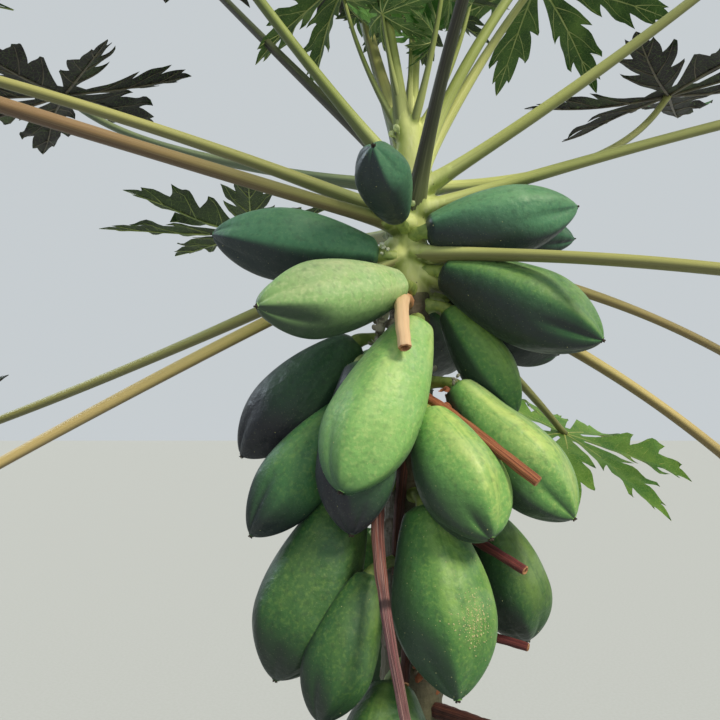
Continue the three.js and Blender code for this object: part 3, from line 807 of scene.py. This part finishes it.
def make_specks(piece, number, row, grid, path):
    """Pale corky grains on a fruit's skin, and a scurfy patch of them on one."""
    rng = np.random.default_rng(SEEDS.specks + number)
    for _ in range(row.specks):
        ring, side = rng.integers(8, FRUIT_RINGS - 8), rng.integers(FRUIT_SIDES)
        spot = grid[ring, side]
        make_dome(piece, spot, unit(spot - path[ring]), rng.uniform(0.0003, 0.0007), 0.0003)
    if number != SCURF.fruit:
        return
    facing = unit(grid - path[:, None]) @ toward(SCURF.bearing, SCURF.slope)
    for _ in range(SCURF.count):
        share = np.clip(SCURF.along + rng.normal(0, SCURF.spread), 0.2, 0.92)
        ring = int(np.clip(np.arccos(1 - 2 * share) / pi * FRUIT_RINGS, 4, FRUIT_RINGS - 4))
        side = int(facing[ring].argmax() + rng.normal(0, SCURF.fan / 360 * FRUIT_SIDES)) % FRUIT_SIDES
        skin, middle = grid[ring, side], path[ring]
        out = unit(skin + rng.normal(0, 0.0012, 3) - middle)
        spot = middle + out * norm(skin - middle)
        make_dome(piece, spot, out, abs(rng.normal(0.0002, 0.0003)) + 0.0003, 0.0004)


def make_style(piece, row, path):
    """The small dry scar that the flower leaves at a fruit's tip."""
    axis = fruit_line(row)[1]
    for i in range(FRUIT_RIDGES):
        turn = 360 / FRUIT_RIDGES * i
        out = unit(axis + 0.4 * toward(turn, 0) + 0.15 * toward(turn + 50, 40))
        make_dome(piece, path[-1] - axis * 0.003, out, 0.0018, 0.0062)


# At a reach of 1: where two lobes part, and how many degrees from their midribs; the tip of each side lobe,
# the notch beyond it, its teeth and the bulge of its edge; and where its vein leaves the midrib
SINUS, SINUS_TURN = 0.16, 17.5
SIDE_LOBES = [((0.530, 0.205), (0.485, 0.092), 1, -0.03), ((0.775, 0.180), (0.700, 0.080), 1, 0.12),
              ((0.915, 0.080), (0.885, 0.046), 0, 0.08)]
SIDE_VEIN_FEET = (0.25, 0.47, 0.72)
TOOTH = 0.016
# How thick each kind of vein is at its foot and its end, and the reach of the blade that has these
MIDRIB, SIDE_VEIN, HAIR_VEIN, VEIN_REACH = (0.0025, 0.0005), (0.0012, 0.0004), (0.0006, 0.00025), 0.28
HAIR_STEP, HAIR_LENGTHS = 0.07, (0.13, 0.10, 0.07, 0.045)
# How far a lobe's edges ruffle and how closely, and how far the skin puffs up at what distance from a vein
RUFFLE, RUFFLE_WAVES, PUFF, PUFF_WIDTH = 0.018, 31, 0.014, 0.045
Plan = namedtuple("Plan", "outline veins lobes")


def arc(start, end, bulge, count, teeth=0):
    """Points from start up to end along a bulging edge, with teeth that point towards the end."""
    start, end = np.array(start), np.array(end)
    out = np.array([start[1] - end[1], end[0] - start[0]])
    share = np.arange(count) / count
    line = bezier(start, (start + end) / 2 + out * bulge, end, share)
    return line + out / norm(out) * TOOTH * (share * teeth % 1)[:, None]


def half_lobe(rng, full):
    """One side of a lobe, from the sinus to the tip, and the tips of its side lobes."""
    shift, swell = rng.uniform(-0.03, 0.03), rng.uniform(0.45, 1.05) * full
    turn = radians(SINUS_TURN)
    last = np.array([SINUS * cos(turn), SINUS * sin(turn)])
    edge, tips = [], []
    for tip, notch, teeth, bulge in SIDE_LOBES:
        drift = np.array([shift, 0]) + rng.uniform(-0.012, 0.012, 2)
        tip, notch = np.array(tip) + drift, np.array(notch) + drift * [1, 0.5]
        tip[1] = notch[1] + (tip[1] - notch[1]) * swell
        edge.append(arc(last, tip, bulge, 3 * teeth + 5, teeth))
        edge.append(arc(tip, notch, -0.14, 4))
        tips.append(tip)
        last = notch
    edge.append(arc(last, (1, 0), 0.10, 5))
    return np.concatenate(edge), tips


def vein(start, end, side, count):
    """A vein that leaves its midrib at an angle and bends towards the tip."""
    start, end = np.array(start), np.array(end)
    return bezier(start, start + (end - start) * [0.45, 0.62], end, np.linspace(0, 1, count)) * [1, side]


def blade_plan(rng, full):
    """A palmate blade at a reach of 1: its outline, its veins with their thickness, and how each lobe
    tilts, twists and folds."""
    outline, veins, lobes = [np.array([[-BLADE_NOTCH, 0.0]])], [], []
    for turn, reach in LOBES:
        reach *= rng.uniform(0.94, 1.0)
        angle = radians(turn + rng.uniform(-1.5, 1.5))
        rotate = reach * np.array([[cos(angle), sin(angle)], [-sin(angle), cos(angle)]])
        sides = {1: half_lobe(rng, full), -1: half_lobe(rng, full)}
        left, right = sides[1][0], sides[-1][0] * [1, -1]
        lobe = np.concatenate([right, [[1.0, 0.0]], left[::-1]])
        outline.append(lobe @ rotate)
        veins.append((np.linspace([0.0, 0.0], [0.995, 0.0], 16) @ rotate, *MIDRIB))
        for side, (_, tips) in sides.items():
            for foot, tip in zip(SIDE_VEIN_FEET, tips):
                veins.append((vein((foot, 0), tip * 0.98, side, 9) @ rotate, *SIDE_VEIN))
        feet = [foot for foot in np.arange(0.10, 0.94, HAIR_STEP)
                if min(abs(foot - other) for other in SIDE_VEIN_FEET) >= 0.03]
        for side in (1, -1):
            for foot in feet:
                for length in HAIR_LENGTHS:
                    end = np.array([foot + 0.75 * length, length])
                    if inside_outline(end[None] * [1, side], lobe)[0] or hypot(*end) < SINUS:
                        veins.append((vein((foot, 0), end, side, 4) @ rotate, *HAIR_VEIN))
                        break
        lobes.append((angle, rng.uniform(-0.12, 0.08), rng.uniform(-0.35, 0.35), rng.uniform(0.12, 0.34)))
    return Plan(np.concatenate(outline), veins, lobes)


def inside_outline(points, outline):
    """Whether each point lies in the closed outline, by counting the edges that a ray crosses."""
    a, b = outline, np.roll(outline, -1, axis=0)
    x, y = points[:, :1], points[:, 1:]
    spans = (a[:, 1] > y) != (b[:, 1] > y)
    rise = np.where(np.abs(b[:, 1] - a[:, 1]) < 1e-12, 1e-12, b[:, 1] - a[:, 1])
    crossing = a[:, 0] + (y - a[:, 1]) / rise * (b[:, 0] - a[:, 0])
    return (spans & (x < crossing)).sum(1) % 2 == 1


def blade_height(spots, plan):
    """How high the blade stands at points of its plan: lobes tilt, twist and fold, and the skin puffs up
    between the larger veins."""
    reach = norm(spots, axis=1)
    bearing = np.arctan2(spots[:, 1], spots[:, 0])
    angles = np.array([lobe[0] for lobe in plan.lobes])
    away = np.abs(round_from(bearing[:, None], angles))
    angle, tilt, twist, fold = np.array(plan.lobes)[away.argmin(1)].T
    along = spots[:, 0] * np.cos(angle) + spots[:, 1] * np.sin(angle)
    across = spots[:, 1] * np.cos(angle) - spots[:, 0] * np.sin(angle)
    free = smooth(reach, 0.22, 0.75)
    height = free * (tilt * along + twist * across)
    height += fold * np.abs(across) * smooth(reach, 0.15, 0.4)
    ruffle = np.sin(RUFFLE_WAVES * along + 9 * angle) * np.sign(across)
    height += RUFFLE * free * ruffle * smooth(np.abs(across), 0.03, 0.16)
    gap = np.full(len(spots), 1.0)
    for line, thick, _ in plan.veins:
        if thick == HAIR_VEIN[0]:
            continue
        start, step = line[:-1], np.diff(line, axis=0)
        offset = spots[:, None] - start
        share = np.clip((offset * step).sum(2) / (step ** 2).sum(1), 0, 1)
        gap = np.minimum(gap, norm(offset - share[..., None] * step, axis=2).min(1))
    return height + PUFF * (1 - np.exp(-(gap / PUFF_WIDTH) ** 2))


def blade_mesh(plan):
    """Points and triangles that fill the outline, finer than its lobes, and which points are on its rim."""
    low, high = plan.outline.min(0), plan.outline.max(0)
    columns = np.arange(low[0], high[0], BLADE_GRID)
    rows = np.arange(low[1], high[1], BLADE_GRID * 0.866)
    spots = np.concatenate([np.column_stack([columns + (i % 2) * BLADE_GRID / 2, np.full(len(columns), y)])
                            for i, y in enumerate(rows)])
    spots = spots[inside_outline(spots, plan.outline)]
    gap = norm(spots[:, None] - plan.outline[None], axis=2).min(1)
    spots = np.concatenate([plan.outline, spots[gap > 0.45 * BLADE_GRID]])
    count = len(plan.outline)
    found = delaunay_2d_cdt([Vector(spot) for spot in spots], [], [list(range(count))], 1, 1e-6)
    points = np.array([list(point) for point in found[0]])
    faces = np.array([face for face in found[2] if len(face) == 3])
    rim = np.array([any(i < count for i in sources) for sources in found[3]])
    return points, faces, rim


def make_blade(blades, veins, plan, row, thickness):
    """Lays a plan out in space at the end of a stalk, as an upper and a lower skin and the ribs between."""
    heading = row.bearing + row.turn if row.heading is None else row.heading
    out, level, roll = toward(heading, -row.dip), toward(heading + 90, 0), radians(row.roll)
    left = level * cos(roll) + np.cross(out, level) * sin(roll)
    up, hub = np.cross(out, left), stalk_path(row)[0][-1]
    reach, tone = row.reach, list(BLADE_TONES).index(row.blade)

    def placed(spots, height):
        (x, y), z = spots.T * reach, height * reach - row.sag * (spots ** 2).sum(1) * reach
        return hub + np.outer(x, out) + np.outer(y, left) + np.outer(z, up)

    spots, faces, rim = blade_mesh(plan)
    middle = placed(spots, blade_height(spots, plan))
    apart = np.where(rim, 0, BLADE_THICKNESS / 2)[:, None] * up
    places = np.column_stack([spots, np.zeros(len(spots))])
    blades.add(middle + apart, faces, places, 2 * tone)
    blades.add(middle - apart, faces[:, ::-1], places, 2 * tone + 1)
    for line, thick, thin in plan.veins:
        path = placed(line, blade_height(line, plan))
        sides = {MIDRIB[0]: 6, SIDE_VEIN[0]: 4, HAIR_VEIN[0]: 3}[thick]
        radius = np.linspace(thick, thin, len(path)) * thickness
        path = path - up * radius[:, None] * 0.3
        across = np.cross(up, unit(path[-1] - path[0]))
        veins.add(*sweep(path, across, even(radius, sides)), tone)


def make_leaves():
    """The leaves and the skin that they grow out of. Gives the lines and radii of the larger stalks."""
    stalks, blades, veins = Piece(), Piece(), Piece()
    plans, lines, share = [], [], np.linspace(0, 1, 120)
    for i, row in enumerate(LEAVES):
        plans.append(blade_plan(np.random.default_rng(SEEDS.plan + i), row.full))
        lines.append((spaced(stalk_path(row)[0], share), stalk_radius(share, row.length)))
        make_stalk(stalks, row, 1.0, SEEDS.stalk + i)
        make_blade(blades, veins, plans[i], row, row.reach / VEIN_REACH)
    young = young_leaves()
    for i, (row, thickness) in enumerate(young):
        plan = plans[i]._replace(veins=[line for line in plans[i].veins if line[1] != HAIR_VEIN[0]])
        make_stalk(stalks, row, thickness, SEEDS.young + i)
        make_blade(blades, veins, plan, row, YOUNG.rib)
    make_fork([(row, 1.0) for row in LEAVES] + young)
    skins = []
    for tone, (base, deep, line, under, under_deep) in BLADE_TONES.items():
        skins.append(blade_paint(f"blade_{tone}_upper", base, deep, line, 0.6))
        skins.append(blade_paint(f"blade_{tone}_under", under, under_deep, line, 0.65))
    barks = [stalk_paint("stalk_" + tone, *colours) for tone, colours in STALK_TONES.items()]
    ribs = [plain_paint("vein_" + tone, *colours, 40, 0.55) for tone, colours in VEIN_TONES.items()]
    nodes = numbered("leaf", len(LEAVES))
    stalks.build("leaf_stalks", barks, "leaf", nodes)
    blades.build("leaf_blades", skins, "leaf", nodes)
    veins.build("leaf_veins", ribs, "leaf", nodes)
    return lines


def young_leaves():
    """The half-open leaves that stand close round the tip, and how thick their stalks are."""
    rows = []
    for i in range(YOUNG.count):
        age = YOUNG.count - i
        row = Leaf(YOUNG.height + YOUNG.step * i, GOLDEN_TURN * i + YOUNG.bearing, YOUNG.rise + 3 * i,
                   YOUNG.end + i, YOUNG.length + YOUNG.grow * age, 0, YOUNG.reach + YOUNG.widen * age,
                   YOUNG.dip, "green", "lit", sag=YOUNG.sag)
        rows.append((row, YOUNG.thick + YOUNG.thicken * age))
    return rows


def make_fork(rows):
    """The trunk's tip and the feet of the stalks, grown together into one skin with soft corners."""
    piece = Piece()
    height = np.linspace(FORK_BASE, TRUNK_TOP, FORK_RINGS)
    radius = trunk_radius(height) * (0.95 + 0.08 * smooth(height, FORK_BASE, FORK_BASE + 0.05))
    piece.add(*sweep(*upright(height), even(radius, FORK_SIDES)))
    for row, thickness in rows:
        path, left = stalk_path(row)
        share = np.linspace(0, FORK_REACH / row.length, FOOT_RINGS)
        full, wide, flat = foot_shape(share * row.length, row.rise)
        radius = stalk_radius(share, row.length) * thickness * wide * full
        radius = radius * (1.10 - 0.16 * share / share[-1])
        piece.add(*sweep(spaced(path, share), left, even(radius, STALK_SIDES), flat))
    rough = piece.build("fork_rough", [], "leaf")
    remesh = rough.modifiers.new("skin", "REMESH")
    remesh.mode, remesh.voxel_size, remesh.use_smooth_shade = "VOXEL", FORK_VOXEL, True
    soften = rough.modifiers.new("soften", "SMOOTH")
    soften.factor, soften.iterations = 0.5, 14
    skin = bpy.data.meshes.new_from_object(rough.evaluated_get(bpy.context.evaluated_depsgraph_get()))
    bpy.data.objects.remove(rough)
    for attribute in [a.name for a in skin.attributes if a.name in ("place", "facing", "behind")]:
        skin.attributes.remove(skin.attributes[attribute])
    add_facing(skin)
    skin.materials.clear()
    skin.materials.append(fork_paint())
    skin.shade_smooth()
    fork = added("stalk_fork", skin)
    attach(fork, "root")
    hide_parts("trunk")


def make_all_fruit(stalks):
    rows = all_fruit()
    skins = [fruit_paint("fruit_" + tone, *colours) for tone, colours in FRUIT_TONES.items()]
    scar = plain_paint("fruit_scar", "241a15", "54463a", 300, 0.8)
    stems, specks, styles = Piece(), Piece(), Piece()
    upper, shown = UPPER_FRUIT, len(FRUITS)
    groups = {"fruit_upper": range(upper), "fruit_lower": range(upper, shown),
              "fruit_back": range(shown, len(rows))}
    for name, members in groups.items():
        piece = Piece()
        for i in members:
            row = rows[i]
            grid, path = make_fruit(piece, i + 1, row, rows[:i], stalks)
            make_stem(stems, row, SEEDS.stem + i)
            make_specks(specks, i + 1, row, grid, path)
            make_style(styles, row, path)
        piece.build(name, [*skins, scar], "fruit", numbered("fruit", len(members), members[0] + 1))
    nodes = numbered("fruit", len(rows))
    stems.build("fruit_stems", [plain_paint("fruit_stem", "93a457", "6f8746", 90, 0.5)], "fruit", nodes)
    specks.build("fruit_specks", [plain_paint("fruit_cork", "c8c690", "b0b07c", 500, 0.8)], "fruit", nodes)
    styles.build("fruit_scars", [scar], "fruit", nodes)


def make_trunk():
    """The trunk with the scars of its fallen leaves in a spiral, low rings and shallow lumps."""
    rng = np.random.default_rng(SEEDS.trunk)
    height = np.linspace(0, FORK_BASE + 0.04, TRUNK_RINGS)[:, None]
    turn = turns(TRUNK_SIDES)[None]
    buttress = BUTTRESS_DEPTH * np.cos(BUTTRESSES * turn) * np.exp(-height / BUTTRESS_HEIGHT)
    plain = trunk_radius(height) * (1 + buttress)
    mark, rim = np.zeros(plain.shape), np.zeros(plain.shape)
    for i in range(SCARS.count):
        middle = SCARS.first + SCARS.step * i + rng.uniform(-SCARS.stray, SCARS.stray)
        size = 0.8 + 0.35 * rng.random()
        across = round_from(turn, radians(GOLDEN_TURN) * i) * trunk_radius(middle) / (SCARS.wide * size)
        above = (height - middle) / (SCARS.tall * size)
        above = np.where(above > 0, above * 1.6, above)
        out = np.sqrt(across ** 2 + above ** 2)
        mark = np.maximum(mark, 1 - smooth(out, 0.75, 1.0))
        rim = np.maximum(rim, np.exp(-((out - 1.02) / 0.16) ** 2))
    fade = 1 - 0.75 * smooth(height, 1.55, 1.8)
    lumps = sum(rng.uniform(-TRUNK_LUMP, TRUNK_LUMP) * ripple(rng, turn, m) * ripple(rng, height, k)
                for m in (1, 2, 3) for k in (9, 17, 41, 80))
    rings = RING_RISE * np.sin(height * 2 * pi / RING_STEP + 1.5 * np.sin(2 * turn))
    relief = fade * (SCARS.rim * rim - SCARS.sunk * mark + rings) + plain * lumps
    points, faces, places = sweep(*upright(height), plain + relief)
    places[:-2] = np.stack([mark * fade, rim * fade, np.broadcast_to(height, mark.shape)], -1).reshape(-1, 3)
    piece = Piece()
    piece.add(points, faces, places)
    piece.build("trunk_bark", [bark_paint()], "trunk", ["trunk"])


def make_stub(piece, row, seed):
    """A cut leaf stalk, wrinkled along its length and hollow at the cut."""
    rng = np.random.default_rng(seed)
    path, left = stalk_path(row)
    share = np.linspace(0, 1, STUB_RINGS)
    path = spaced(path, share)
    turn = turns(STUB_SIDES)
    ribs = STUB_RIB * ripple(rng, turn, 7) + STUB_RIB * ripple(rng, turn, 3)
    wander = sum(0.03 * np.sin(share[:, None] * k + turn * m + rng.uniform(0, 6))
                 for k, m in ((9, 1), (23, 2), (47, 1)))
    waist = smooth(share * row.length, row.joint, row.joint + 0.006)
    swell = 1 + STUB_SWELL * (1 - share) - JOINT_WAIST * waist
    radius = row.radius * swell[:, None] * (1 + ribs + wander)
    mouth = row.radius * STUB_MOUTH * (1 + ribs * 0.6)
    deep = np.linspace(0, 1, 6)[:, None] * STUB_HOLLOW
    along = unit(path[-1] - path[-2])
    lip = path[-1] + along * STUB_LIP
    inner = np.concatenate([[lip], path[-1] - deep * along])
    rings = np.concatenate([radius, [(radius[-1] + mouth) / 2], np.tile(mouth, (len(deep), 1))])
    points, faces, places = sweep(np.concatenate([path, inner]), left, rings)
    ends = unit(np.gradient(path, axis=0))[-1]
    left = unit(left - (left @ ends) * ends)
    round_ring = np.cos(turn)[:, None] * left + np.sin(turn)[:, None] * np.cross(ends, left)
    for i, centre in enumerate(inner):
        first = (STUB_RINGS + i) * STUB_SIDES
        points[first:first + STUB_SIDES] = centre + rings[STUB_RINGS + i][:, None] * round_ring
    tones = np.full(len(faces), list(STUB_TONES).index(row.tone))
    inside = (faces.min(1) >= (STUB_RINGS - 1) * STUB_SIDES) & (faces.max(1) >= STUB_RINGS * STUB_SIDES)
    tones[inside] = len(STUB_TONES)
    piece.add(points, faces, places, tones)


def make_stubs():
    paints = [stub_paint("stub_" + tone, *colours) for tone, colours in STUB_TONES.items()]
    paints.append(plain_paint("stub_pith", "b98a62", "8a5a3c", 260, 0.8))
    fresh, dry = Piece(), Piece()
    for i, row in enumerate(STUBS):
        make_stub(dry if i else fresh, row, SEEDS.stub + i)
    fresh.build("fresh_stub", paints, "fresh_stub", ["stub_01"])
    dry.build("dry_stubs", paints, "stub", numbered("stub", len(STUBS) - 1, 2))


def make_scrap(piece, spot, size, rng, paint):
    """A small curled petal or bract."""
    out = unit(rng.normal(0, 1, 3) + unit(spot * [1, 1, 0]) * 1.6)
    across = unit(np.cross(out, rng.normal(0, 1, 3)))
    up = np.cross(out, across)
    along, side = np.meshgrid(np.linspace(0, 1, 9), np.linspace(-1, 1, 5), indexing="ij")
    width = 0.32 * size * np.sin(pi * (0.12 + 0.86 * along)) ** 0.8
    curl = rng.uniform(0.6, 2.2)
    rise = size * (1 - np.cos(along * curl)) / curl + 0.5 * width * side ** 2
    points = (spot + (size * np.sin(along * curl) / curl)[..., None] * out
              + (side * width)[..., None] * across + rise[..., None] * up)
    corner = (np.arange(8)[:, None] * 5 + np.arange(4)).ravel()
    faces = np.concatenate([corner[:, None] + step for step in ([0, 5, 6], [0, 6, 1])])
    piece.add(points.reshape(-1, 3), faces, points.reshape(-1, 3), paint)


def make_small_things():
    """Dry flowers and bracts, drops of latex, and the flower buds above the upper leaves."""
    rng = np.random.default_rng(SEEDS.small)
    scraps, buds = Piece(), Piece()
    for row in SCRAPS:
        paint = list(SCRAP_TONES).index(row.tone)
        for _ in range(row.count):
            spot = np.array(row.place) + rng.normal(0, 0.35 * row.size, 3)
            if row.tone == "latex":
                make_dome(scraps, spot, unit(spot * [1, 1, 0]), rng.uniform(0.0015, 0.004), 0.003, paint, 10)
            else:
                make_scrap(scraps, spot, row.size * rng.uniform(0.6, 1.2), rng, paint)
    for row in LEAVES[BUD_LEAF:]:
        for turn in BUD_TURNS:
            foot = toward(row.bearing + turn, 0) * trunk_radius(row.height) * 0.8
            foot += [0, 0, row.height + BUD_RISE]
            aim = toward(row.bearing + turn, rng.uniform(25, 60))
            length = rng.uniform(0.012, 0.021)
            share = np.linspace(0, 1, 14)
            radius = 0.0016 + 0.0032 * np.sin(pi * np.clip((share - 0.45) / 0.55, 0, 0.97)) ** 0.8
            path = foot + np.outer(share * length, aim)
            buds.add(*sweep(path, toward(row.bearing + 90, 0), even(radius, 10)))
    scraps.build("dry_bits", [plain_paint(*tone) for tone in SCRAP_TONES.values()], "stub")
    buds.build("flower_buds", [plain_paint("bud", "c3cf98", "9db070", 200, 0.5)], "leaf")


def studio():
    """The floor, the sky, the two suns and the camera."""
    floor = bpy.data.meshes.new("floor")
    corners = [(x * FLOOR, y * FLOOR, 0) for x, y in ((-1, -1), (1, -1), (1, 1), (-1, 1))]
    floor.from_pydata(corners, [], [(0, 1, 2, 3)])
    paint = Paint("floor", "a9aba9", 0.95)
    paint.lay("a5a7a4", paint.grain(60, 3), 0.6)
    floor.materials.append(paint.material)
    ground = added("floor", floor)
    world = bpy.data.worlds.new("sky")
    world.use_nodes = True
    sky = world.node_tree.nodes["Background"].inputs
    sky["Color"].default_value, sky["Strength"].default_value = rgb("e6edf1"), SKY_STRENGTH
    bpy.context.scene.world = world
    for name, place, spread, strength, colour in SUNS:
        light = bpy.data.lights.new(name, "SUN")
        light.angle, light.energy, light.color = radians(spread), strength, rgb(colour)[:3]
        lamp = added(name, light)
        lamp.location = place
        lamp.rotation_euler = (-lamp.location).to_track_quat("-Z", "Y").to_euler()
    lens = bpy.data.cameras.new("camera")
    lens.lens, lens.sensor_width = CAMERA_LENS, SENSOR
    camera = added("camera", lens)
    camera.location = CAMERA_PLACE
    camera.rotation_euler = (radians(90 + CAMERA_TILT), 0, 0)
    bpy.context.scene.camera = camera
    bpy.context.scene.view_settings.view_transform = "Standard"


make_trunk()
make_stubs()
stalk_lines = make_leaves()
make_all_fruit(stalk_lines)
make_small_things()
studio()
